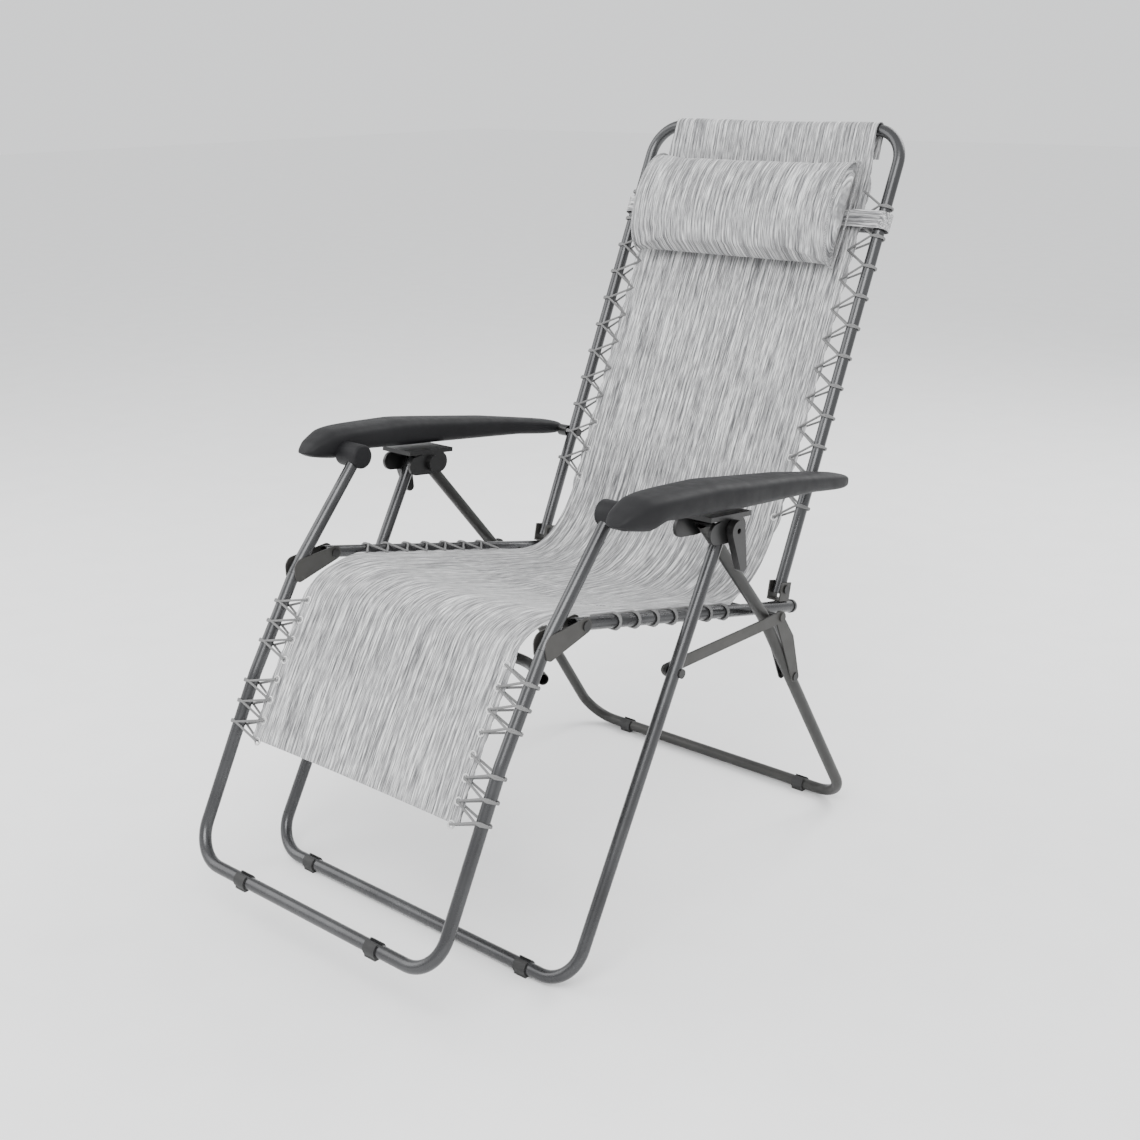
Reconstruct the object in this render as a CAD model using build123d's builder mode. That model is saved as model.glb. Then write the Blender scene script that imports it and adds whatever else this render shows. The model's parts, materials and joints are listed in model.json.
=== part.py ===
from build123d import *
import math
import os

# A folding zero gravity recliner. The sitter faces -Y, +Z is up, and the origin is
# on the floor under the middle of the chair. Side-view places are (y, z) pairs.

# ---- driving dimensions, mm ----
TUBE_R = 9.5
TUBE_WALL = 1.2
CORNER_R = 55.0
BEND_R = 120.0
HUB_Y = -23.5

FRONT_LEG_X = 319.0
REAR_LEG_X = 286.0
RAIL_X = 257.5
BACK_X = 251.0

LACE_R = 2.0
LACE_GAP = 0.4
SLING_T = 3.0
SLING_HALF_WIDTH = 199.0
BACK_EYELET_X = 206.0
SEAT_EYELET_X = 231.0

PIN_R = 4.0
PIN_FIT = 0.05
ARM_PIN_PLAY = 1.8
PLATE_T = 2.0


def at_hub(dy, z):
    """A side-view place, given by its distance behind the leg hub and its height."""
    return (HUB_Y + dy, z)


# ---- side view of the chair, upright ----
HUB = at_hub(0, 598)
FRONT_BEND = at_hub(-57.5, 497)
FRONT_FOOT = at_hub(-330, 12)
REAR_BEND = at_hub(155, 417)
REAR_FOOT = at_hub(418, 12)
LINK_PIVOT = at_hub(-102, 410)
SEAT_PIVOT = at_hub(182, 410)
LEAF_PIVOT = at_hub(233, 295)
KNEE_PIVOT = at_hub(-234, 504)
RAIL_REAR = at_hub(272, 393.5)
BACK_PIVOT = at_hub(251.5, 428)
ARM_FRONT = at_hub(-170, 644)
ARM_REAR = at_hub(328.5, 594)
FOOT_KINK = at_hub(-303, 493)
FOOT_BEND = at_hub(-393, 350)
FOOT_BAR = at_hub(-525, 95)
BACK_TOP = at_hub(571.5, 1113)

os.makedirs("parts", exist_ok=True)


def save(piece, name):
    """Label a finished piece and write it to its own STEP file."""
    piece.part.label = name
    export_step(piece.part, f"parts/{name}.step")
    print(name, len(piece.part.solids()), round(piece.part.volume))


def between(a, b, t):
    """The side-view point a fraction t of the way from a to b."""
    return (a[0] + (b[0] - a[0]) * t, a[1] + (b[1] - a[1]) * t)


def unit(a, b):
    """The direction from a to b in side view."""
    length = math.dist(a, b)
    return ((b[0] - a[0]) / length, (b[1] - a[1]) / length)


def shifted(p, along, distance):
    """The side-view point a distance from p along a direction."""
    return (p[0] + along[0] * distance, p[1] + along[1] * distance)


def at_x(x, p):
    """The point in space over a side-view place."""
    return (x, p[0], p[1])


def tube(points, radii, radius=TUBE_R):
    """A bent steel tube along a route of straight runs and tangent bends."""
    with BuildPart() as bent:
        with BuildLine():
            if len(points) > 2:
                route = FilletPolyline(*points, radius=radii)
            else:
                route = Line(*points)
        with BuildSketch(Plane(origin=route @ 0, z_dir=route % 0)):
            Circle(radius)
            Circle(radius - TUBE_WALL, mode=Mode.SUBTRACT)
        sweep(path=route)
    return bent.part


def cross_pin(x_from, x_to, place, radius):
    """A round pin along X, made outside any part that is being built."""
    length = abs(x_to - x_from)
    middle = (x_from + x_to) / 2
    plane = Plane(origin=at_x(middle, place), z_dir=(1, 0, 0))
    return plane * Cylinder(radius, length, mode=Mode.PRIVATE)


def side_profile(*pins, holes=()):
    """A plate outline around a row of round bosses, as hulls between neighbours."""
    with BuildSketch() as outline:
        for (a, ra), (b, rb) in zip(pins, pins[1:]):
            with BuildSketch(mode=Mode.PRIVATE) as pair:
                with Locations(a):
                    Circle(ra)
                with Locations(b):
                    Circle(rb)
                make_hull()
            add(pair.sketch)
        for place, radius in holes:
            with Locations(place):
                Circle(radius, mode=Mode.SUBTRACT)
    return outline.sketch


def plate(outline, x_from, thickness, side=1):
    """A flat plate from a side-view outline, its inner face at x_from on one side."""
    with BuildPart() as flat:
        with BuildSketch(Plane.YZ.offset(side * x_from)):
            add(outline)
        extrude(amount=side * thickness)
    return flat.part


def u_frame(half_width, side_points, bends):
    """Route of a U frame: down one side, across, and up the other side."""
    near = [at_x(half_width, p) for p in side_points]
    far = [at_x(-half_width, p) for p in reversed(side_points)]
    radii = bends + [CORNER_R, CORNER_R] + bends[::-1]
    return near + far, radii


# ================= front leg =================
leg_points, leg_radii = u_frame(FRONT_LEG_X, [HUB, FRONT_BEND, FRONT_FOOT], [BEND_R])
with BuildPart() as front_leg_frame:
    add(tube(leg_points, leg_radii))
    for side in (1, -1):
        x_hole = (side * (FRONT_LEG_X - 20), side * (FRONT_LEG_X + 20))
        add(cross_pin(*x_hole, HUB, PIN_R + PIN_FIT), mode=Mode.SUBTRACT)
        add(cross_pin(*x_hole, LINK_PIVOT, PIN_R), mode=Mode.SUBTRACT)
save(front_leg_frame, "front_leg_frame")

# ================= rear leg =================
rear_points, rear_radii = u_frame(REAR_LEG_X, [HUB, REAR_BEND, REAR_FOOT], [BEND_R])
with BuildPart() as rear_leg_frame:
    add(tube(rear_points, rear_radii))
    for side in (1, -1):
        x_hole = (side * (REAR_LEG_X - 20), side * (REAR_LEG_X + 20))
        add(cross_pin(*x_hole, HUB, PIN_R + PIN_FIT), mode=Mode.SUBTRACT)
        add(cross_pin(*x_hole, LEAF_PIVOT, PIN_R), mode=Mode.SUBTRACT)
save(rear_leg_frame, "rear_leg_frame")


# ================= rubber foot clips =================
CLIP_WIDTH = 22.0
CLIP_R = 12.0
CLIP_SLOT = 7.0


def foot_clips(name, centre, spacing):
    """Two rubber clips that snap on a crossbar, each with a flat sole and a top slot."""
    with BuildPart() as clips:
        for side in (1, -1):
            start = side * spacing - CLIP_WIDTH / 2
            with BuildSketch(Plane.YZ.offset(start)):
                with Locations(centre):
                    Circle(CLIP_R)
                with Locations((centre[0], centre[1] - CLIP_R / 2)):
                    Rectangle(CLIP_R * 1.5, CLIP_R)
                with Locations(centre):
                    Circle(TUBE_R, mode=Mode.SUBTRACT)
                with Locations((centre[0], centre[1] + CLIP_R)):
                    Rectangle(CLIP_SLOT, CLIP_R, mode=Mode.SUBTRACT)
            extrude(amount=CLIP_WIDTH)
    save(clips, name)


foot_clips("front_leg_foot_clips", FRONT_FOOT, 231)
foot_clips("rear_leg_foot_clips", REAR_FOOT, 196)
foot_clips("footrest_bar_clips", FOOT_BAR, 141)

# ================= hub bolts and lock housings =================
CHEEK_IN_X = 270.0
CHEEK_OUT_X = 331.0
CHEEK_T = 5.0
ROOF_Z = 616.5
ROOF_LENGTH = 96.0
ROOF_T = 7.0
ARM_SLOPE = math.degrees(math.atan2(ARM_REAR[1] - ARM_FRONT[1], ARM_REAR[0] - ARM_FRONT[0]))

cheek = side_profile(
    (shifted(HUB, (-1, 0), 34), 15),
    (HUB, 19),
    (shifted(HUB, (0.97, -0.1), 18), 17),
    holes=[(HUB, PIN_R + PIN_FIT)],
)
for hand, side in (("left", 1), ("right", -1)):
    with BuildPart() as lock_housing:
        for inner_face in (CHEEK_IN_X, CHEEK_OUT_X):
            add(plate(cheek, inner_face, CHEEK_T, side))
        roof_middle = side * (CHEEK_IN_X + CHEEK_OUT_X + CHEEK_T) / 2
        roof_place = (roof_middle, HUB[0], ROOF_Z)
        with Locations(Location(roof_place, (ARM_SLOPE, 0, 0))):
            Box(CHEEK_OUT_X + CHEEK_T - CHEEK_IN_X, ROOF_LENGTH, ROOF_T)
    save(lock_housing, f"{hand}_lock_housing")

with BuildPart() as hub_bolts:
    for side in (1, -1):
        add(cross_pin(side * 262, side * 341, HUB, PIN_R))
        add(cross_pin(side * 262, side * 269.8, HUB, 13))
save(hub_bolts, "hub_bolts")

# ================= recline lock levers =================
LEVER_X = 336.3
LEVER_T = 13.0
lever_tip = shifted(HUB, (0.22, -0.975), 56)
lever_outline = side_profile(
    (HUB, 15), (lever_tip, 8), holes=[(HUB, PIN_R + PIN_FIT)]
)
for hand, side in (("left", 1), ("right", -1)):
    with BuildPart() as lever:
        add(plate(lever_outline, LEVER_X, LEVER_T, side))
        fillet(lever.edges().filter_by(GeomType.CIRCLE).sort_by(Axis.Z)[:1], 3)
    save(lever, f"{hand}_lock_lever")

# ================= fold links and leaf plates =================
LEAF_OUT_X = 296.8
LEAF_IN_X = 271.9
LINK_X = 301.0
LINK_T = 3.0

link_outline = side_profile(
    (LINK_PIVOT, 9),
    (SEAT_PIVOT, 9),
    holes=[(LINK_PIVOT, PIN_R + PIN_FIT)],
)
for hand, side in (("left", 1), ("right", -1)):
    with BuildPart() as fold_link:
        add(plate(link_outline, LINK_X, LINK_T, side))
        head_x = LINK_X + LINK_T
        add(cross_pin(side * head_x, side * (head_x + 2.5), SEAT_PIVOT, 7))
    save(fold_link, f"{hand}_fold_link")

leaf_middle = shifted(between(SEAT_PIVOT, LEAF_PIVOT, 0.45), (0.91, 0.4), 6)
leaf_outline = side_profile(
    (SEAT_PIVOT, 9),
    (leaf_middle, 14.5),
    (LEAF_PIVOT, 9),
    holes=[(LEAF_PIVOT, PIN_R + PIN_FIT), (SEAT_PIVOT, PIN_R)],
)
for hand, side in (("left", 1), ("right", -1)):
    for name, face in (("outer", LEAF_OUT_X), ("inner", LEAF_IN_X)):
        with BuildPart() as leaf:
            add(plate(leaf_outline, face, PLATE_T, side))
        save(leaf, f"{hand}_{name}_leaf_plate")

with BuildPart() as leaf_bolts:
    for side in (1, -1):
        add(cross_pin(side * 271.2, side * 300.4, SEAT_PIVOT, PIN_R))
save(leaf_bolts, "leaf_bolts")

with BuildPart() as leaf_pivot_bolts:
    for side in (1, -1):
        add(cross_pin(side * 271.9, side * 300.5, LEAF_PIVOT, PIN_R))
        add(cross_pin(side * 299, side * 300.5, LEAF_PIVOT, 7))
save(leaf_pivot_bolts, "leaf_pivot_bolts")

with BuildPart() as link_pivot_bolts:
    for side in (1, -1):
        add(cross_pin(side * 298, side * 331, LINK_PIVOT, PIN_R))
        add(cross_pin(side * 298, side * 300.7, LINK_PIVOT, 7))
        add(cross_pin(side * 328.7, side * 331, LINK_PIVOT, 7))
save(link_pivot_bolts, "link_pivot_bolts")

with BuildPart() as link_spacers:
    for side in (1, -1):
        add(cross_pin(side * 304.2, side * 309.3, LINK_PIVOT, 10))
        add(cross_pin(side * 304, side * 310, LINK_PIVOT, PIN_R), mode=Mode.SUBTRACT)
save(link_spacers, "link_spacers")

# ================= seat frame =================
rail_way = unit(KNEE_PIVOT, RAIL_REAR)
rail_up = (-rail_way[1], rail_way[0])
rail_start = shifted(KNEE_PIVOT, rail_way, -14)
for hand, side in (("left", 1), ("right", -1)):
    with BuildPart() as seat_rail:
        ends = [at_x(side * RAIL_X, rail_start), at_x(side * RAIL_X, RAIL_REAR)]
        add(tube(ends, None))
        x_hole = (side * (RAIL_X - 20), side * (RAIL_X + 20))
        for place in (KNEE_PIVOT, SEAT_PIVOT):
            add(cross_pin(*x_hole, place, PIN_R), mode=Mode.SUBTRACT)
    save(seat_rail, f"{hand}_seat_rail")

with BuildPart() as rail_end_caps:
    for side in (1, -1):
        way = (0, rail_way[0], rail_way[1])
        cap_plane = Plane(origin=at_x(side * RAIL_X, RAIL_REAR), z_dir=way)
        with BuildSketch(cap_plane):
            Circle(TUBE_R + 1.5)
        extrude(amount=9)
    fillet(rail_end_caps.faces().sort_by(Axis.Y)[-2:].edges(), 5)
save(rail_end_caps, "rail_end_caps")

with BuildPart() as seat_pivot_pins:
    for side in (1, -1):
        add(cross_pin(side * (RAIL_X - 12), side * 270.8, SEAT_PIVOT, PIN_R))
        add(cross_pin(side * 267.2, side * 270.8, SEAT_PIVOT, 8))
save(seat_pivot_pins, "seat_pivot_pins")

with BuildPart() as knee_rivets:
    for side in (1, -1):
        add(cross_pin(side * 243.5, side * 271.5, KNEE_PIVOT, PIN_R))
        for head in ((243.5, 245.2), (269.8, 271.5)):
            add(cross_pin(side * head[0], side * head[1], KNEE_PIVOT, 7))
save(knee_rivets, "knee_rivets")

# The clevis on each rail: two ears on a saddle that rests on the rail.
CLEVIS_GAP = 2 * TUBE_R + 0.8
CLEVIS_T = 2.5
clevis_turn = math.degrees(math.atan2(rail_way[1], rail_way[0]))
saddle = shifted(BACK_PIVOT, rail_up, -18.2)
with BuildPart() as back_clevises:
    for side in (1, -1):
        block_middle = shifted(saddle, rail_up, 14)
        with Locations(Location(at_x(side * BACK_X, block_middle), (clevis_turn, 0, 0))):
            Box(CLEVIS_GAP + 2 * CLEVIS_T, 26, 30)
        slot_middle = shifted(saddle, rail_up, 16.5)
        with Locations(Location(at_x(side * BACK_X, slot_middle), (clevis_turn, 0, 0))):
            Box(CLEVIS_GAP, 30, 30, mode=Mode.SUBTRACT)
        x_hole = (side * (BACK_X - 20), side * (BACK_X + 20))
        add(cross_pin(*x_hole, BACK_PIVOT, PIN_R), mode=Mode.SUBTRACT)
save(back_clevises, "back_clevises")

with BuildPart() as back_pivot_pins:
    for side in (1, -1):
        add(cross_pin(side * 236, side * 266, BACK_PIVOT, PIN_R))
        for head in ((236, 237.8), (264.2, 266)):
            add(cross_pin(side * head[0], side * head[1], BACK_PIVOT, 7))
save(back_pivot_pins, "back_pivot_pins")


def bowed_bar(half_width, place, bow):
    """Route of a crossbar that bows away from the sitter between two end places."""
    end = at_x(half_width, place)
    knee = at_x(half_width * 0.72, shifted(place, bow, 1))
    other = (-knee[0], knee[1], knee[2])
    last = (-end[0], end[1], end[2])
    return [end, knee, other, last], [90, 90]


BAR_R = 8.0
rear_bar_place = shifted(RAIL_REAR, rail_way, -18)
with BuildPart() as rear_crossbar:
    route_points, radii = bowed_bar(RAIL_X - 11.5, rear_bar_place, (16, -30))
    add(tube(route_points, radii, BAR_R))
save(rear_crossbar, "rear_crossbar")

# ================= footrest =================
foot_drop = unit(ARM_FRONT, FOOT_KINK)
upper_top = shifted(ARM_FRONT, foot_drop, -8)
lower_start = shifted(FOOT_KINK, unit(FOOT_KINK, FOOT_BEND), 8)
for hand, side in (("left", 1), ("right", -1)):
    with BuildPart() as upper_tube:
        route_points = [at_x(side * RAIL_X, p) for p in (upper_top, FOOT_KINK, lower_start)]
        add(tube(route_points, 40))
        x_hole = (side * (RAIL_X - 20), side * (RAIL_X + 20))
        # a loose hole, so the armrest and footrest can shift a little as they recline
        add(cross_pin(*x_hole, ARM_FRONT, PIN_R + ARM_PIN_PLAY), mode=Mode.SUBTRACT)
    save(upper_tube, f"{hand}_footrest_upper_tube")

lower_gap = shifted(lower_start, unit(FOOT_KINK, FOOT_BEND), 0.4)
foot_points, foot_radii = u_frame(RAIL_X, [lower_gap, FOOT_BEND, FOOT_BAR], [BEND_R])
with BuildPart() as footrest_frame:
    add(tube(foot_points, foot_radii))
save(footrest_frame, "footrest_frame")

gusset_outline = side_profile(
    (KNEE_PIVOT, 11),
    (shifted(FOOT_KINK, (0.6, 0.3), 6), 15),
    (shifted(FOOT_KINK, (-0.2, -1), 10), 9),
    (KNEE_PIVOT, 11),
    holes=[(KNEE_PIVOT, PIN_R + PIN_FIT)],
)
with BuildPart() as knee_gussets:
    for side in (1, -1):
        for face in (RAIL_X + TUBE_R + 0.4, RAIL_X - TUBE_R - 0.4 - PLATE_T):
            add(plate(gusset_outline, face, PLATE_T, side))
save(knee_gussets, "knee_gussets")

calf_place = shifted(FOOT_KINK, (0.1, -1), 52)
with BuildPart() as calf_bar:
    route_points, radii = bowed_bar(RAIL_X - 10, calf_place, (46, -6))
    add(tube(route_points, radii, BAR_R))
save(calf_bar, "calf_bar")

# ================= back frame =================
back_way = unit(BACK_PIVOT, BACK_TOP)
back_start = shifted(BACK_PIVOT, back_way, -9)
with BuildPart() as back_frame:
    route_points = [at_x(BACK_X, back_start), at_x(BACK_X, BACK_TOP)]
    route_points += [at_x(-BACK_X, BACK_TOP), at_x(-BACK_X, back_start)]
    add(tube(route_points, [CORNER_R, CORNER_R]))
    for side in (1, -1):
        x_hole = (side * (BACK_X - 20), side * (BACK_X + 20))
        add(cross_pin(*x_hole, BACK_PIVOT, PIN_R + PIN_FIT), mode=Mode.SUBTRACT)
        add(cross_pin(*x_hole, ARM_REAR, PIN_R), mode=Mode.SUBTRACT)
save(back_frame, "back_frame")

with BuildPart() as armrest_bolts:
    for side in (1, -1):
        add(cross_pin(side * 236.5, side * 300, ARM_REAR, PIN_R))
        add(cross_pin(side * 236.5, side * 241.3, ARM_REAR, 7))
save(armrest_bolts, "armrest_bolts")

with BuildPart() as armrest_spacers:
    for side in (1, -1):
        add(cross_pin(side * 260.8, side * 279.6, ARM_REAR, 10))
        add(cross_pin(side * 260, side * 280, ARM_REAR, PIN_R), mode=Mode.SUBTRACT)
save(armrest_spacers, "armrest_spacers")

# ================= armrests =================
arm_way = unit(ARM_FRONT, ARM_REAR)
arm_up = (-arm_way[1], arm_way[0])
ARM_INNER_X = 280.0
ARM_OUTER_X = 352.0
ARM_WALL = 5.0
KNUCKLE_R = 19.0
KNUCKLE_SLOT_R = 15.0


def arm_point(along, up):
    """A side-view point, along the armrest from its front pivot and above its axis."""
    return shifted(shifted(ARM_FRONT, arm_way, along), arm_up, up)


ARM_CROWN = ((-66, 2), (-50, 26), (-18, 38), (130, 43), (330, 32), (518, 14))
ARM_BELLY = ((518, -11), (400, -3), (20, 0), (-4, -14), (-52, -14))
arm_outline = [arm_point(*p) for p in ARM_CROWN + ARM_BELLY]
for hand, side in (("left", 1), ("right", -1)):
    with BuildPart() as armrest:
        with BuildSketch(Plane.YZ.offset(ARM_INNER_X)) as arm_side:
            with BuildLine():
                Polyline(*arm_outline, close=True)
            make_face()
            fillet(arm_side.vertices(), 5)
        extrude(amount=ARM_OUTER_X - ARM_INNER_X)
        # the outer edge draws in towards the rear
        with BuildSketch(Plane.XY):
            with BuildLine():
                Polyline(
                    (ARM_OUTER_X + 5, HUB_Y + 20),
                    (ARM_OUTER_X + 5, HUB_Y + 400),
                    (ARM_INNER_X + 36, HUB_Y + 400),
                    close=True,
                )
            make_face()
        extrude(amount=800, mode=Mode.SUBTRACT)
        # hollow from below, and narrower where the outer edge draws in
        for x_to, along, length in ((ARM_OUTER_X - ARM_WALL, 75, 210), (ARM_INNER_X + 29, 340, 290)):
            width = x_to - ARM_INNER_X - ARM_WALL
            place = at_x(ARM_INNER_X + ARM_WALL + width / 2, arm_point(along, -5))
            with Locations(Location(place, (ARM_SLOPE, 0, 0))):
                Box(width, length, 46 if along < 200 else 24, mode=Mode.SUBTRACT)
        with Locations(at_x(ARM_INNER_X + 10, ARM_REAR)):
            Box(20, 24, 18)
        bolt_hole = (ARM_INNER_X - 1, ARM_INNER_X + 24, ARM_REAR, PIN_R + PIN_FIT)
        add(cross_pin(*bolt_hole), mode=Mode.SUBTRACT)
        add(cross_pin(RAIL_X - 15, ARM_INNER_X + 1, ARM_FRONT, KNUCKLE_R))
        # the knuckle is slotted for the footrest tube, from straight down to forwards
        slot_x = (RAIL_X - TUBE_R - LACE_GAP, RAIL_X + TUBE_R + LACE_GAP)
        add(cross_pin(*slot_x, ARM_FRONT, KNUCKLE_SLOT_R), mode=Mode.SUBTRACT)
        with Locations(at_x(RAIL_X, shifted(ARM_FRONT, (-1, -1), 9))):
            Box(slot_x[1] - slot_x[0], 42, 42, mode=Mode.SUBTRACT)
        pin_hole = (RAIL_X - 12, RAIL_X + 12, ARM_FRONT, PIN_R)
        add(cross_pin(*pin_hole), mode=Mode.SUBTRACT)
    if side < 0:
        with BuildPart() as armrest:
            add(left_armrest.mirror(Plane.YZ))
    else:
        left_armrest = armrest.part
    save(armrest, f"{hand}_armrest")

with BuildPart() as armrest_front_pins:
    for side in (1, -1):
        add(cross_pin(side * (RAIL_X - 11.9), side * (RAIL_X + 11.9), ARM_FRONT, PIN_R))
save(armrest_front_pins, "armrest_front_pins")


# ================= sling =================
def sling(name, a, b, half_width, lift=0.0):
    """A flat panel of the sling between two side-view places."""
    way = unit(a, b)
    middle = shifted(between(a, b, 0.5), (-way[1], way[0]), lift)
    turn = math.degrees(math.atan2(way[1], way[0]))
    with BuildPart() as panel:
        with Locations(Location(at_x(0, middle), (turn, 0, 0))):
            Box(2 * half_width, math.dist(a, b), SLING_T)
    save(panel, name)


SLEEVE_HALF_WIDTH = 190.0
back_low = shifted(BACK_PIVOT, back_way, 95)
back_high = shifted(BACK_TOP, back_way, -(TUBE_R + SLING_T + 0.3))
sling("back_sling", back_low, back_high, SLING_HALF_WIDTH)
with BuildPart() as sling_sleeve:
    sleeve_x = (-SLEEVE_HALF_WIDTH, SLEEVE_HALF_WIDTH, BACK_TOP)
    add(cross_pin(*sleeve_x, TUBE_R + SLING_T))
    add(cross_pin(*sleeve_x, TUBE_R + 0.2), mode=Mode.SUBTRACT)
save(sling_sleeve, "sling_sleeve")

seat_front = shifted(KNEE_PIVOT, rail_way, 34)
seat_rear = shifted(KNEE_PIVOT, rail_way, 396)
sling("seat_sling", seat_front, seat_rear, SEAT_EYELET_X - 7)

foot_way = unit(FOOT_BEND, FOOT_BAR)
FOOT_HEM = shifted(FOOT_BEND, foot_way, 92)
sling("footrest_sling", shifted(FOOT_KINK, unit(FOOT_KINK, FOOT_BEND), 22), FOOT_HEM, SLING_HALF_WIDTH)


# ================= elastic lacing =================
def lacing(name, side, tube_x, eyelet_x, places, way):
    """Hairpins of elastic, each round the frame tube with both ends at one eyelet."""
    with BuildPart() as laces:
        for place in places:
            plane = Plane(
                origin=at_x(side * tube_x, place), x_dir=(-side, 0, 0), z_dir=(0, way[0], way[1])
            )
            with BuildSketch(plane, mode=Mode.PRIVATE) as belt:
                Circle(TUBE_R + LACE_R + LACE_GAP)
                with Locations((tube_x - eyelet_x, 0)):
                    Circle(3)
                make_hull()
            route = Wire(belt.sketch.edges().sort_by(SortBy.LENGTH)[1:])
            with BuildSketch(Plane(origin=route @ 0, z_dir=route % 0)):
                Circle(LACE_R)
            sweep(path=route)
    save(laces, name)


def along(start, way, first, pitch, count):
    """Evenly spaced side-view places from a start point."""
    return [shifted(start, way, first + pitch * i) for i in range(count)]


foot_upper_way = unit(FOOT_KINK, FOOT_BEND)
foot_eyelets = along(FOOT_KINK, foot_upper_way, 40, 32, 4) + along(FOOT_BEND, foot_way, -2, 32, 4)
for hand, side in (("left", 1), ("right", -1)):
    back_eyelets = along(BACK_PIVOT, back_way, 108, 49.5, 12)
    lacing(f"{hand}_back_lacing", side, BACK_X, BACK_EYELET_X, back_eyelets, back_way)
    seat_eyelets = along(KNEE_PIVOT, rail_way, 52, 43, 8)
    lacing(f"{hand}_seat_lacing", side, RAIL_X, SEAT_EYELET_X, seat_eyelets, rail_way)
    lacing(f"{hand}_footrest_lacing", side, RAIL_X, BACK_EYELET_X, foot_eyelets, foot_way)

# ================= head pillow =================
PILLOW_X = 200.0
PILLOW_LOW = 512.0
PILLOW_HIGH = 695.0
PILLOW_T = 54.0
STRAP_R = 14.6
STRAP_T = 1.2
STRAP_WIDTH = 28.0
back_turn = math.degrees(math.atan2(back_way[1], back_way[0]))
back_front = (-back_way[1], back_way[0])
pillow_offset = STRAP_R + STRAP_T + 0.4 + PILLOW_T / 2
pillow_middle = shifted(BACK_PIVOT, back_way, (PILLOW_LOW + PILLOW_HIGH) / 2)
with BuildPart() as head_pillow:
    pillow_place = at_x(0, shifted(pillow_middle, back_front, pillow_offset))
    with Locations(Location(pillow_place, (back_turn, 0, 0))):
        Box(2 * PILLOW_X, PILLOW_HIGH - PILLOW_LOW, PILLOW_T)
    fillet(head_pillow.edges(), 18)
save(head_pillow, "head_pillow")

strap_low = shifted(pillow_middle, back_way, -STRAP_WIDTH / 2)
with BuildPart() as pillow_strap:
    strap_plane = Plane(
        origin=at_x(0, strap_low), x_dir=(1, 0, 0), z_dir=(0, back_way[0], back_way[1])
    )
    with BuildSketch(strap_plane):
        SlotCenterToCenter(2 * BACK_X, 2 * (STRAP_R + STRAP_T))
        SlotCenterToCenter(2 * BACK_X, 2 * STRAP_R, mode=Mode.SUBTRACT)
    extrude(amount=STRAP_WIDTH)
save(pillow_strap, "pillow_strap")
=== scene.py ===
# %% [markdown]
# # Zero gravity recliner
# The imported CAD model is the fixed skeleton. This file gives every visible surface its
# finish and builds the soft pieces: the laced sling, the lacing, the armrests and the pillow.

# %% Load the frame
import json
import math
import bpy
from mathutils import Matrix, Vector


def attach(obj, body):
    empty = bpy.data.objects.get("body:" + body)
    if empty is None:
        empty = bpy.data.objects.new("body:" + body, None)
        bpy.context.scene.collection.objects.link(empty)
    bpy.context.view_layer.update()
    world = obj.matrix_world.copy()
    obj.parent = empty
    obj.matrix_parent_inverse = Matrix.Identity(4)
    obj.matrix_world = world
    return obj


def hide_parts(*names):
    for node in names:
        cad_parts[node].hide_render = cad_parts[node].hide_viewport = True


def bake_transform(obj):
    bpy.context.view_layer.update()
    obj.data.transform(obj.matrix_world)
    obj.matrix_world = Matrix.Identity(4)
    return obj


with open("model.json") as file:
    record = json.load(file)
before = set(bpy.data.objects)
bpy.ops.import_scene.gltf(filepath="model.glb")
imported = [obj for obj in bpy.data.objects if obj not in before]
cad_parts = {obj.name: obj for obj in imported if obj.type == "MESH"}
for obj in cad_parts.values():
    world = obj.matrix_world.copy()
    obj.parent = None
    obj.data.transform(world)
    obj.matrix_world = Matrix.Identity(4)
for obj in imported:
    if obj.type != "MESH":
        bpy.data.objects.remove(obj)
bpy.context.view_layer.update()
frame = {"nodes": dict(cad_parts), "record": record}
joints = {j["name"]: j for j in frame["record"]["behaviour"]["joints"]}
_, HUB_Y, HUB_Z = joints["leg_fold"]["pos_m"]
print("leg hub", round(HUB_Y, 4), round(HUB_Z, 4))

# %% [markdown]
# A sling chair is easiest to think about in side view. Places are (y, z) pairs in metres,
# and a few small helpers walk along lines in that plane.


# %% Side-view helpers
def side(dy, z):
    """A side-view place from its distance behind the leg hub and its height, in mm."""
    return Vector((HUB_Y + dy / 1000, z / 1000))


BACK_PIVOT = Vector(joints["recline"]["pos_m"][1:])
KNEE_PIVOT = Vector(joints["footrest_swing"]["pos_m"][1:])
ARM_REAR = Vector(joints["armrest_swing"]["pos_m"][1:])
ARM_FRONT = side(-170, 644)
BACK_TOP = side(571.5, 1113)
RAIL_REAR = side(272, 393.5)
FOOT_KINK = side(-303, 493)
FOOT_BEND = side(-393, 350)
FOOT_BAR = side(-525, 95)
back_way = (BACK_TOP - BACK_PIVOT).normalized()
rail_way = (RAIL_REAR - KNEE_PIVOT).normalized()
shin_way = (FOOT_BEND - FOOT_KINK).normalized()
foot_way = (FOOT_BAR - FOOT_BEND).normalized()
arm_way = (ARM_REAR - ARM_FRONT).normalized()


def turned(way):
    """The side-view direction a quarter turn to the left of another."""
    return Vector((-way[1], way[0]))


def curve_through(a, control, b, steps):
    """Points on a smooth arc that leaves a and reaches b, aimed at one control place."""
    points = []
    for i in range(steps + 1):
        t = i / steps
        points.append(a * (1 - t) ** 2 + control * 2 * t * (1 - t) + b * t * t)
    return points


def crossing(a, way_a, b, way_b):
    """Where two side-view lines meet."""
    det = way_a[0] * way_b[1] - way_a[1] * way_b[0]
    gap = b - a
    return a + way_a * ((gap[0] * way_b[1] - gap[1] * way_b[0]) / det)


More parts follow.
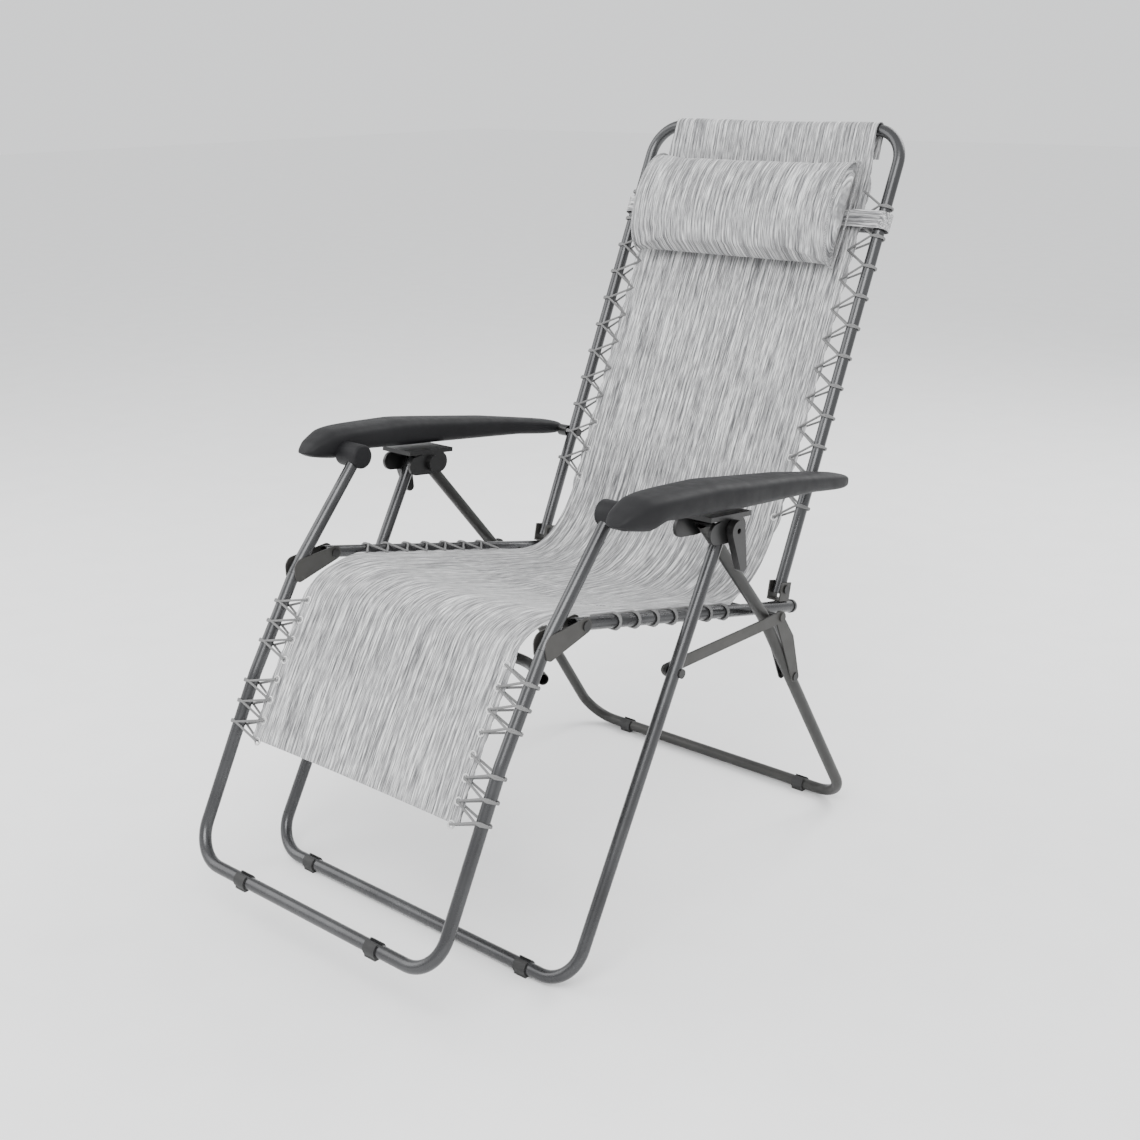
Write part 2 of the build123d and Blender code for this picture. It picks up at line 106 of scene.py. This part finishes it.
def evenly(points, pitch):
    """The same path again with its points an even distance apart."""
    out, carry = [points[0]], 0.0
    for a, b in zip(points, points[1:]):
        length = (b - a).length
        while carry + length >= pitch:
            a = a + (b - a) * ((pitch - carry) / length)
            out.append(a)
            length = (b - a).length
            carry = 0.0
        carry += length
    out.append(points[-1])
    return out


# %% [markdown]
# The camera stands in front of the chair, to the sitter's left and above the seat. A lens of
# about 50 mm keeps the frame's lines nearly parallel.

# %% Camera
CAMERA_PLACE = (1.5720, -1.7480, 1.2275)
CAMERA_AZIMUTH, CAMERA_ELEVATION, CAMERA_ROLL = 41.77, 18.03, -0.62
bpy.ops.object.camera_add(location=CAMERA_PLACE)
camera = bpy.context.object
camera.name = "camera"
camera.data.lens = 49.6
camera.data.sensor_width = 36
turn = Matrix.Rotation(math.radians(CAMERA_AZIMUTH), 3, "Z")
turn = turn @ Matrix.Rotation(math.radians(90 - CAMERA_ELEVATION), 3, "X")
turn = turn @ Matrix.Rotation(math.radians(CAMERA_ROLL), 3, "Z")
camera.rotation_euler = turn.to_euler()
bpy.context.scene.camera = camera

# %% [markdown]
# Finishes are built from nodes. A helper makes a Principled shader with a colour that
# drifts a little between two tones, and a fine bump, which is what keeps paint and plastic
# from looking like a flat fill.


# %% Material helpers
def shader(name, roughness=0.5, metallic=0.0, **sockets):
    """A new material, its node tree and its Principled shader."""
    material = bpy.data.materials.new(name)
    material.use_nodes = True
    tree = material.node_tree
    surface = tree.nodes["Principled BSDF"]
    surface.inputs["Roughness"].default_value = roughness
    surface.inputs["Metallic"].default_value = metallic
    for socket, value in sockets.items():
        surface.inputs[socket.replace("_", " ")].default_value = value
    return material, tree, surface


def node(tree, kind, inputs=(), **settings):
    """Add a node, set its options, and link or fill its inputs."""
    made = tree.nodes.new(kind)
    for key, value in settings.items():
        setattr(made, key, value)
    for key, value in dict(inputs).items():
        if isinstance(value, bpy.types.NodeSocket):
            tree.links.new(value, made.inputs[key])
        else:
            made.inputs[key].default_value = value
    return made


def mapped(tree, source, scale):
    """Texture coordinates from a source socket name, stretched by a scale."""
    where = node(tree, "ShaderNodeTexCoord")
    return node(
        tree, "ShaderNodeMapping", {"Vector": where.outputs[source], "Scale": scale}
    ).outputs[0]


def noise(tree, where, scale, detail=3.0, roughness=0.5):
    made = node(
        tree,
        "ShaderNodeTexNoise",
        {"Vector": where, "Scale": scale, "Detail": detail, "Roughness": roughness},
    )
    return made.outputs[0]


def tones(tree, value, stops):
    """A colour ramp through grey or coloured stops."""
    ramp = node(tree, "ShaderNodeValToRGB", {"Fac": value})
    elements = ramp.color_ramp.elements
    while len(elements) < len(stops):
        elements.new(0.5)
    for element, (place, colour) in zip(elements, stops):
        element.position = place
        element.color = (*colour, 1)
    return ramp.outputs[0]


def bump(tree, surface, height, strength, distance, under=None):
    inputs = {"Height": height, "Strength": strength, "Distance": distance}
    if under:
        inputs["Normal"] = under
    made = node(tree, "ShaderNodeBump", inputs)
    tree.links.new(made.outputs[0], surface.inputs["Normal"])
    return made.outputs[0]


def coated(name, dark, light, roughness, metallic, grain, grain_scale, **sockets):
    """Paint, plastic or rubber: two close tones, cloudy roughness and a fine grain."""
    material, tree, surface = shader(name, roughness, metallic, **sockets)
    where = mapped(tree, "Object", (1, 1, 1))
    cloud = noise(tree, where, 9, 4)
    colour = tones(tree, cloud, [(0.3, dark), (0.7, light)])
    tree.links.new(colour, surface.inputs["Base Color"])
    spread = node(
        tree,
        "ShaderNodeMapRange",
        {"Value": noise(tree, where, 60, 3), "To Min": roughness * 0.8, "To Max": roughness * 1.25},
    )
    tree.links.new(spread.outputs[0], surface.inputs["Roughness"])
    bump(tree, surface, noise(tree, where, grain_scale, 2), grain, 0.0004)
    return material


# %% [markdown]
# The tubes are powder coated steel with a slight metallic sparkle, so they carry a sharp
# bright line along their length. The links and plates are flatter. Plastic, rubber and
# fixings are near black but differ in gloss.

# %% Hard finishes
tube_steel = coated("tube_steel", (0.05, 0.05, 0.052), (0.075, 0.076, 0.078), 0.27, 0.75, 0.12, 900)
# A satin, less metallic copy of the tube steel. The rougher satin finish is real; its darker tone
# is painted shade, for the shade on the rear legs and crossbar.
satin_steel_painted_shade = coated("satin_steel_painted_shade", (0.03, 0.03, 0.029), (0.046, 0.045, 0.043), 0.42, 0.5, 0.15, 900)
plate_steel = coated(
    "plate_steel", (0.034, 0.034, 0.032), (0.05, 0.048, 0.045), 0.48, 0.35, 0.2, 700
)
fixings = coated("fixings", (0.02, 0.02, 0.02), (0.04, 0.04, 0.04), 0.35, 0.6, 0.1, 600)
black_plastic = coated(
    "black_plastic", (0.004, 0.004, 0.004), (0.008, 0.008, 0.008), 0.33, 0, 0.15, 1400
)
arm_plastic = coated(
    "arm_plastic",
    (0.008, 0.008, 0.009),
    (0.013, 0.013, 0.014),
    0.55,
    0,
    0.3,
    1700,
    Specular_IOR_Level=0.2,
)
rubber = coated("rubber", (0.012, 0.012, 0.012), (0.022, 0.022, 0.022), 0.62, 0, 0.3, 1200)
eyelet_finish = coated("eyelet_finish", (0.5, 0.5, 0.5), (0.66, 0.66, 0.65), 0.35, 0.5, 0.1, 900)

# %% [markdown]
# The sling is woven from coated yarn in several greys. Seen from a step back, the long
# yarns make fine streaks down the chair. The pattern reads the sheet's own UV map, which is
# laid out in metres, so the streaks follow the cloth over the knee and under the sitter.


# %% Sling fabric
def woven(name, source, along_axis):
    """Streaked grey cloth: long thin noise for the yarns, two crossed waves for the weave."""
    material, tree, surface = shader(name, 0.72, Sheen_Weight=0.25, Sheen_Roughness=0.5)
    long_scale, cross_scale = 38, 1150
    fine = [cross_scale, cross_scale, cross_scale]
    broad = [cross_scale / 4, cross_scale / 4, cross_scale / 4]
    fine[along_axis] = long_scale
    broad[along_axis] = long_scale / 5
    yarn = noise(tree, mapped(tree, source, fine), 1, 2, 0.6)
    streak = noise(tree, mapped(tree, source, broad), 1, 3, 0.6)
    both = node(tree, "ShaderNodeMath", {0: yarn, 1: streak}, operation="ADD")
    half = node(tree, "ShaderNodeMath", {0: both.outputs[0], 1: 0.5}, operation="MULTIPLY")
    greys = [
        (0.40, (0.055, 0.055, 0.058)),
        (0.47, (0.19, 0.19, 0.194)),
        (0.53, (0.36, 0.36, 0.363)),
        (0.60, (0.74, 0.74, 0.74)),
    ]
    tree.links.new(tones(tree, half.outputs[0], greys), surface.inputs["Base Color"])
    cloth = mapped(tree, source, (1, 1, 1))
    heights = []
    for axis in ("X", "Y"):
        wave = node(
            tree,
            "ShaderNodeTexWave",
            {"Vector": cloth, "Scale": 190, "Distortion": 0.6},
            wave_type="BANDS",
            bands_direction=axis,
        )
        heights.append(wave.outputs[1])
    weave = node(tree, "ShaderNodeMath", {0: heights[0], 1: heights[1]}, operation="ADD")
    under = bump(tree, surface, weave.outputs[0], 0.25, 0.0004)
    bump(tree, surface, yarn, 0.5, 0.0006, under)
    return material


sling_cloth = woven("sling_cloth", "UV", 1)
pillow_cloth = woven("pillow_cloth", "UV", 1)


def elastic_cord():
    """Braided elastic: mid grey with a tight spiral rib."""
    material, tree, surface = shader("elastic_cord", 0.7)
    where = mapped(tree, "Object", (1, 1, 1))
    rib = node(
        tree,
        "ShaderNodeTexWave",
        {"Vector": where, "Scale": 260, "Distortion": 1.0},
        bands_direction="DIAGONAL",
    )
    colour = tones(tree, rib.outputs[1], [(0.2, (0.1, 0.1, 0.1)), (0.8, (0.23, 0.23, 0.23))])
    tree.links.new(colour, surface.inputs["Base Color"])
    bump(tree, surface, rib.outputs[1], 0.4, 0.0004)
    return material


elastic = elastic_cord()

# %% [markdown]
# Carried-over CAD pieces keep their shape and take a finish by what they are made of, except the
# inner leaf plate and the rear legs, crossbar and calf bar, whose darker finishes are painted
# shade.

# %% Finishes on the CAD pieces
FINISH_BY_WORD = (
    ("lacing", elastic),
    ("strap", elastic),
    ("clips", rubber),
    ("caps", tube_steel),
    ("housing", black_plastic),
    ("lever", black_plastic),
    ("spacer", black_plastic),
    # The inner leaf plate is a steel plate like the outer one. Its black plastic finish is painted
    # shade, for the shadow it sits in.
    ("inner_leaf", black_plastic),
    ("leaf_plate", plate_steel),
    ("fold_link", plate_steel),
    ("gusset", plate_steel),
    ("clevis", plate_steel),
    ("bolt", fixings),
    ("rivet", fixings),
    ("pin", fixings),
    # The rear legs, crossbar and calf bar take the satin steel whose darker tone is painted shade.
    ("rear_leg", satin_steel_painted_shade),
    ("crossbar", satin_steel_painted_shade),
    ("calf_bar", satin_steel_painted_shade),
)
for name, piece in frame["nodes"].items():
    finish = next((f for word, f in FINISH_BY_WORD if word in name), tube_steel)
    if name == "hub_bolts":
        finish = black_plastic
    for material_slot in piece.material_slots:
        material_slot.material = finish

# %% [markdown]
# ## The sling
# It is one length of cloth: sewn into a sleeve round the top bar, laced to the back tubes,
# the seat rails and the footrest tubes, and hemmed at the feet. It crosses two hinges, and
# a blended piece may cross only one, so the cloth is made as two sheets that meet in the
# middle of the seat, where both simply follow the seat.

# %% Side view of the cloth
SLEEVE_R = 0.0122
BACK_EYELETS = [BACK_PIVOT + back_way * (0.108 + 0.0495 * i) for i in range(12)]
SEAT_EYELETS = [KNEE_PIVOT + rail_way * (0.052 + 0.043 * i) for i in range(8)]
FOOT_EYELETS = [FOOT_KINK + shin_way * (0.040 + 0.032 * i) for i in range(4)]
FOOT_EYELETS += [FOOT_BEND + foot_way * (-0.002 + 0.032 * i) for i in range(4)]
MID_SEAT = KNEE_PIVOT + rail_way * 0.20
PANEL_EYELET_X = 0.206
SEAT_EYELET_X = 0.231

back_front = turned(back_way)
sleeve = [BACK_TOP - back_way * 0.045 - back_front * SLEEVE_R]
for i in range(13):
    angle = math.pi * i / 12
    sleeve.append(
        BACK_TOP - back_front * SLEEVE_R * math.cos(angle) + back_way * SLEEVE_R * math.sin(angle)
    )
sleeve.append(BACK_TOP - back_way * 0.03 + back_front * 0.009)
sleeve.append(BACK_TOP - back_way * 0.07 + back_front * 0.003)
back_low = BACK_PIVOT + back_way * 0.12
seat_rear = KNEE_PIVOT + rail_way * 0.375
lap = crossing(back_low, back_way, seat_rear, rail_way)
upper_path = sleeve + curve_through(back_low, lap, seat_rear, 16) + [MID_SEAT]

seat_front = KNEE_PIVOT + rail_way * 0.05
shin_top = FOOT_KINK + shin_way * 0.03
knee = crossing(seat_front, rail_way, shin_top, shin_way)
hem = FOOT_BEND + foot_way * 0.092
shin_bend = curve_through(FOOT_BEND - shin_way * 0.05, FOOT_BEND, FOOT_BEND + foot_way * 0.05, 6)
lower_path = [MID_SEAT] + curve_through(seat_front, knee, shin_top, 16) + shin_bend + [hem]


# %% [markdown]
# A grid primitive gives the quads. Each row is put at its place on the side-view path, the
# middle hangs back a little, and the edge pulls in between the eyelets.

# %% Make one sheet
SHEET_COLUMNS = 72
ROW_PITCH = 0.006
CLOTH_WALL = 0.0014
TAUT_X = 0.195


def nearest(place, others):
    return min((place - other).length for other in others)


def half_width(place):
    """Wider along the seat, where the cloth meets the rails, and scalloped by the lacing."""
    to_seat = min(nearest(place, SEAT_EYELETS) / 0.09, 1)
    wide = 0.2425 - 0.0235 * to_seat * to_seat * (3 - 2 * to_seat)
    wide -= 0.012 * max(0.0, 1 - (place - BACK_TOP).length / 0.12)
    gap = min(nearest(place, BACK_EYELETS + SEAT_EYELETS + FOOT_EYELETS) / 0.025, 1)
    return wide - 0.005 * gap * gap


def sag(place, seat_depth=0.016, panel_depth=0.008):
    """How far the middle hangs behind the edges: most where the sitter's weight goes."""
    near_seat = max(0.0, 1 - (place - SEAT_EYELETS[4]).length / 0.22)
    near_top = min(1.0, (place - BACK_TOP).length / 0.15)
    return (panel_depth + seat_depth * near_seat) * near_top


def sheet_piece(name, path):
    """A sheet along a side-view path, its UV map laid out in metres."""
    rows = evenly(path, ROW_PITCH)
    last = len(rows) - 1
    bpy.ops.object.select_all(action="DESELECT")
    bpy.ops.mesh.primitive_grid_add(
        x_subdivisions=SHEET_COLUMNS, y_subdivisions=last, size=1, calc_uvs=True
    )
    piece = bpy.context.object
    piece.name = name
    mesh = piece.data
    flat_place = {}
    for vertex in mesh.vertices:
        row = round((vertex.co.y + 0.5) * last)
        before, after = rows[max(row - 1, 0)], rows[min(row + 1, last)]
        behind = turned((after - before).normalized())
        x = vertex.co.x * 2 * half_width(rows[row])
        slack = max(0.0, 1 - (x / TAUT_X) ** 2)
        ripple = 0.0012 * math.sin(row * 0.11 + 14 * x)
        place = rows[row] + behind * (sag(rows[row]) + ripple) * slack
        vertex.co = (x, place[0], place[1])
        flat_place[vertex.index] = (x, row * ROW_PITCH)
    for loop in mesh.loops:
        mesh.uv_layers[0].data[loop.index].uv = flat_place[loop.vertex_index]
    wall = piece.modifiers.new("wall", "SOLIDIFY")
    wall.thickness = CLOTH_WALL
    wall.offset = 0
    bpy.ops.object.modifier_apply(modifier=wall.name)
    bpy.ops.object.shade_smooth_by_angle(angle=math.radians(50))
    mesh.materials.append(sling_cloth)
    print(name, len(rows), "rows", len(mesh.polygons), "faces")
    return piece, last * ROW_PITCH


sling_upper, upper_length = sheet_piece("sling_upper", upper_path)
sling_lower, lower_length = sheet_piece("sling_lower", lower_path)

# %% [markdown]
# The foot end is finished with a hem. The cloth is turned under and sewn, so a second layer
# lies behind the last few centimetres.

# %% Hem
HEM_DEPTH = 0.029
behind_foot = turned(foot_way) * 0.0022
hem_top = hem - foot_way * HEM_DEPTH
sling_hem, _ = sheet_piece("sling_hem", [hem_top + behind_foot, hem + behind_foot])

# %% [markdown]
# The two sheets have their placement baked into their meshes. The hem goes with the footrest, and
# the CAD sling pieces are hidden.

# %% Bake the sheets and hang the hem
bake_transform(sling_upper)
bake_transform(sling_lower)
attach(sling_hem, "footrest")
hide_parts("back_sling", "sling_sleeve", "seat_sling")
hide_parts("footrest_sling")

# %% [markdown]
# ## Eyelets
# Each lace end passes through a pressed metal ring. A ring is a low torus lying in the cloth.
# The rings of one panel are joined into one piece, because they never move apart.


# %% Eyelets
def joined(name, pieces, material):
    """Join pieces into one and leave its object at the origin, unturned."""
    bpy.ops.object.select_all(action="DESELECT")
    for piece in pieces:
        piece.select_set(True)
    bpy.context.view_layer.objects.active = pieces[0]
    if len(pieces) > 1:
        bpy.ops.object.join()
    bpy.ops.object.transform_apply(location=True, rotation=True, scale=True)
    whole = bpy.context.object
    whole.name = name
    whole.data.materials.clear()
    whole.data.materials.append(material)
    return whole


def ring_row(name, runs, x, body):
    rings = []
    for places, way in runs:
        out = turned(way)
        tilt = math.atan2(-out[0], out[1])
        for place in places:
            for side_sign in (1, -1):
                bpy.ops.mesh.primitive_torus_add(
                    location=(side_sign * x, *place),
                    rotation=(tilt, 0, 0),
                    major_radius=0.0052,
                    minor_radius=0.0014,
                    major_segments=18,
                    minor_segments=8,
                )
                rings.append(bpy.context.object)
    bpy.ops.object.select_all(action="DESELECT")
    row = joined(name, rings, eyelet_finish)
    bpy.ops.object.shade_smooth()
    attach(row, body)
    print(name, len(rings), "rings")


ring_row("back_eyelets", [(BACK_EYELETS, back_way)], PANEL_EYELET_X, "back")
ring_row("seat_eyelets", [(SEAT_EYELETS, rail_way)], SEAT_EYELET_X, "seat")
foot_runs = [(FOOT_EYELETS[:4], shin_way), (FOOT_EYELETS[4:], foot_way)]
ring_row("footrest_eyelets", foot_runs, PANEL_EYELET_X, "footrest")

# %% [markdown]
# ## Lacing
# One elastic runs down each side of a panel. It goes through an eyelet, over the front of the
# tube halfway to the next eyelet, round it and back from behind, which makes the zigzag. A
# second strand does the same the other way up, so the strands cross. A curve with a round
# bevel follows that route, and is then turned into a mesh.

# %% Lacing
LACE_R = 0.0019
WRAP_R = 0.0095 + LACE_R + 0.0004
BACK_TUBE_X = 0.251
RAIL_X = 0.2575


def lace_route(places, way, eyelet_x, tube_x, side_sign, downwards):
    """The places a strand passes, from the first eyelet to the last."""
    out = turned(way)
    stops = places if downwards else places[::-1]
    route = []

    def add(x, middle, forward):
        place = middle + out * forward
        route.append((side_sign * x, place[0], place[1]))

    for a, b in zip(stops, stops[1:]):
        halfway = (a + b) / 2
        add(eyelet_x, a, LACE_R * 1.4)
        add(tube_x - 0.35 * WRAP_R, halfway, WRAP_R * 0.94)
        for step in range(1, 7):
            angle = math.pi * (0.5 - step / 7)
            slip = (step / 7 - 0.5) * 0.004
            middle = halfway + (b - a).normalized() * slip
            add(tube_x + WRAP_R * math.cos(angle), middle, WRAP_R * math.sin(angle))
        add(tube_x - 0.35 * WRAP_R, halfway, -WRAP_R * 0.94)
        add(eyelet_x, b, -LACE_R * 1.4)
    return route


def lace_piece(name, runs, eyelet_x, tube_x, side_sign, body, replaced):
    strands = []
    for places, way in runs:
        for downwards in (True, False):
            bpy.ops.curve.primitive_nurbs_path_add()
            strand = bpy.context.object
            curve = strand.data
            curve.splines.clear()
            route = lace_route(places, way, eyelet_x, tube_x, side_sign, downwards)
            spline = curve.splines.new("POLY")
            spline.points.add(len(route) - 1)
            for point, place in zip(spline.points, route):
                point.co = (*place, 1)
            curve.bevel_depth = LACE_R
            curve.bevel_resolution = 2
            curve.use_fill_caps = True
            bpy.ops.object.convert(target="MESH")
            strands.append(bpy.context.object)
    lace = joined(name, strands, elastic)
    bpy.ops.object.shade_smooth()
    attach(lace, body)
    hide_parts(replaced)
    print(name, len(lace.data.polygons), "faces")


for hand, side_sign in (("left", 1), ("right", -1)):
    back_runs = [(BACK_EYELETS, back_way)]
    seat_runs = [(SEAT_EYELETS, rail_way)]
    for panel, runs, eyelet_x, tube_x in (
        ("back", back_runs, PANEL_EYELET_X, BACK_TUBE_X),
        ("seat", seat_runs, SEAT_EYELET_X, RAIL_X),
        ("footrest", foot_runs, PANEL_EYELET_X, RAIL_X),
    ):
        name = f"{hand}_{panel}_lacing"
        lace_piece(f"{name}_cord", runs, eyelet_x, tube_x, side_sign, panel, name)

# %% [markdown]
# ## Armrests
# The real ones are moulded in dark plastic, with a crowned top, a nose that droops in front
# and an edge that draws in towards the rear. A sphere gives a closed skin with rings along
# its length. Each ring is moved to its station, which is simpler than modelling from a box.

# %% Armrests
ARM_CROWN = ((-66, 6), (-50, 25), (-18, 38), (130, 43), (330, 32), (518, 14))
ARM_BELLY = ((-66, -4), (-52, -13), (-12, -13), (14, 0), (400, -3), (518, -11))
ARM_OUTER = ((-66, 346), (0, 352), (190, 352), (518, 322))
ARM_INNER_X = 280
NOSE_END, REAR_END = -66, 518


def read_off(table, along):
    """Read a value off a table of (distance, value) pairs, in mm."""
    for (a, low), (b, high) in zip(table, table[1:]):
        if along <= b:
            t = max(0.0, (along - a) / (b - a))
            return low + (high - low) * t
    return table[-1][1]


arm_up = turned(arm_way)
for hand, side_sign in (("left", 1), ("right", -1)):
    bpy.ops.object.select_all(action="DESELECT")
    bpy.ops.mesh.primitive_uv_sphere_add(segments=40, ring_count=72, radius=1)
    shell = bpy.context.object
    for vertex in shell.data.vertices:
        x, y, z = vertex.co
        along = NOSE_END + (REAR_END - NOSE_END) * (z + 1) / 2
        ring = math.hypot(x, y) or 1
        square = [math.copysign(abs(c / ring) ** 0.62, c) for c in (x, y)]
        end_round = (1 - abs(z) ** 14) ** 0.35 if z > 0 else (1 - abs(z) ** 7) ** 0.45
        crown, belly = read_off(ARM_CROWN, along), read_off(ARM_BELLY, along)
        outer = read_off(ARM_OUTER, along)
        across = (ARM_INNER_X + outer) / 2 + square[0] * end_round * (outer - ARM_INNER_X) / 2
        up = (crown + belly) / 2 + square[1] * end_round * (crown - belly) / 2
        place = ARM_FRONT + arm_way * (along / 1000) + arm_up * (up / 1000)
        vertex.co = (side_sign * across / 1000, place[0], place[1])
    bpy.ops.object.shade_smooth()
    bpy.ops.mesh.primitive_cylinder_add(
        vertices=40,
        radius=0.019,
        depth=0.048,
        location=(side_sign * 0.2665, *ARM_FRONT),
        rotation=(0, math.pi / 2, 0),
    )
    knuckle = bpy.context.object
    edge = knuckle.modifiers.new("edge", "BEVEL")
    edge.width = 0.0045
    edge.segments = 4
    bpy.ops.object.modifier_apply(modifier=edge.name)
    bpy.ops.object.shade_smooth_by_angle(angle=math.radians(40))
    armrest = joined(f"{hand}_armrest_moulding", [shell, knuckle], arm_plastic)
    bpy.ops.object.mode_set(mode="EDIT")
    bpy.ops.mesh.select_all(action="SELECT")
    bpy.ops.mesh.normals_make_consistent(inside=False)
    bpy.ops.object.mode_set(mode="OBJECT")
    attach(armrest, "armrests")
    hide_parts(f"{hand}_armrest")
    print(armrest.name, len(armrest.data.polygons), "faces")

# %% [markdown]
# ## Head pillow
# A stuffed roll with a rounded front and a flatter back. A subdivided box is turned into a
# D-shaped roll, then blown up a little by a cloth simulation, so that the cover tightens
# over the filling. The sewn edge at each end is added afterwards, as piping.

# %% Pillow shape
PILLOW_HALF = 0.197
PILLOW_MIDDLE = 0.6035
PILLOW_REACH = 0.088
PILLOW_BACK = 0.0175
PILLOW_CROWN = 0.05


def pillow_place(x, along_part, depth_part, grow=0.0):
    """A place on the roll from its position across, along the back and out of it."""
    reach = PILLOW_REACH + grow
    depth = (PILLOW_CROWN + grow if depth_part > 0 else 0.004 + grow) * depth_part
    flat = BACK_PIVOT + back_way * (PILLOW_MIDDLE + reach * along_part)
    place = flat + back_front * (PILLOW_BACK + 0.004 + depth)
    return (x, place[0], place[1])


bpy.ops.object.select_all(action="DESELECT")
bpy.ops.mesh.primitive_cube_add(size=2)
pillow = bpy.context.object
pillow.name = "pillow_roll"
bpy.ops.object.mode_set(mode="EDIT")
bpy.ops.mesh.select_all(action="SELECT")
bpy.ops.mesh.subdivide(number_cuts=30)
bpy.ops.object.mode_set(mode="OBJECT")
for vertex in pillow.data.vertices:
    u, v, w = vertex.co
    along_part = v * math.sqrt(1 - w * w / 2)
    depth_part = w * math.sqrt(1 - v * v / 2)
    vertex.co = pillow_place(u * PILLOW_HALF, along_part, depth_part)


# %% Blow up the pillow
def puffed(piece, pressure, cap, frames=16):
    """Tighten a closed skin over its filling, and let no point move further than cap."""
    before = [vertex.co.copy() for vertex in piece.data.vertices]
    cloth = piece.modifiers.new("stuffing", "CLOTH")
    cloth.settings.use_pressure = True
    cloth.settings.uniform_pressure_force = pressure
    cloth.settings.effector_weights.gravity = 0
    cloth.point_cache.frame_end = frames
    for frame_number in range(1, frames + 1):
        bpy.context.scene.frame_set(frame_number)
    bpy.ops.object.modifier_apply(modifier=cloth.name)
    bpy.context.scene.frame_set(1)
    furthest = 0.0
    for vertex, old in zip(piece.data.vertices, before):
        moved = vertex.co - old
        furthest = max(furthest, moved.length)
        if moved.length > cap:
            vertex.co = old + moved * (cap / moved.length)
    print(piece.name, "moved up to", round(furthest * 1000, 1), "mm")


puffed(pillow, pressure=3, cap=0.006)
bpy.ops.object.shade_smooth()
pillow_uv = pillow.data.uv_layers[0] if pillow.data.uv_layers else pillow.data.uv_layers.new()
for loop in pillow.data.loops:
    co = pillow.data.vertices[loop.vertex_index].co
    pillow_uv.data[loop.index].uv = (co.x, co.y * back_way[0] + co.z * back_way[1])
pillow.data.materials.clear()
pillow.data.materials.append(pillow_cloth)
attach(pillow, "pillow")
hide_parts("head_pillow")

# %% Piping at the pillow's ends
for hand, side_sign in (("left", 1), ("right", -1)):
    bpy.ops.object.select_all(action="DESELECT")
    bpy.ops.mesh.primitive_torus_add(
        major_radius=1, minor_radius=0.1, major_segments=96, minor_segments=8
    )
    cord = bpy.context.object
    for vertex in cord.data.vertices:
        x, y, z = vertex.co
        radius = math.hypot(x, y)
        grow = (radius - 1) * 0.018
        across = side_sign * (PILLOW_HALF + z * 0.018)
        vertex.co = pillow_place(across, x / radius, y / radius, grow + 0.001)
    bpy.ops.object.shade_smooth()
    piping = joined(f"{hand}_pillow_piping", [cord], pillow_cloth)
    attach(piping, "pillow")

# %% [markdown]
# The pillow hangs on a flat strap of the sling's own cloth, which runs round both back
# tubes. It keeps its CAD shape, so only its finish changes.

# %% Strap finish
strap_cloth = woven("strap_cloth", "Object", 0)
for material_slot in frame["nodes"]["pillow_strap"].material_slots:
    material_slot.material = strap_cloth

# %% [markdown]
# ## Studio
# A pale floor, three large soft lights and a bright surround. The strongest light stands over
# the camera's shoulder, and the shadows stay faint.

# %% Floor and lights
floor_paint = coated("floor_paint", (0.93, 0.93, 0.93), (0.96, 0.96, 0.96), 0.85, 0, 0.05, 40)
bpy.ops.object.select_all(action="DESELECT")
bpy.ops.mesh.primitive_plane_add(size=40)
floor = bpy.context.object
floor.name = "floor"
floor.data.materials.append(floor_paint)

for name, place, power, size in (
    ("key_light", (1.6, -2.6, 3.2), 150, 2.4),
    ("fill_light", (-2.6, -1.6, 2.2), 70, 2.6),
    ("rim_light", (0.6, 2.8, 2.8), 90, 2.2),
):
    bpy.ops.object.light_add(type="AREA", location=place)
    lamp = bpy.context.object
    lamp.name = name
    lamp.data.energy = power
    lamp.data.size = size
    aim = Vector((0, 0, 0.55)) - Vector(place)
    lamp.rotation_euler = aim.to_track_quat("-Z", "Y").to_euler()

world = bpy.data.worlds.new("studio")
world.use_nodes = True
world.node_tree.nodes["Background"].inputs["Color"].default_value = (0.95, 0.96, 0.97, 1)
world.node_tree.nodes["Background"].inputs["Strength"].default_value = 1.25
bpy.context.scene.world = world
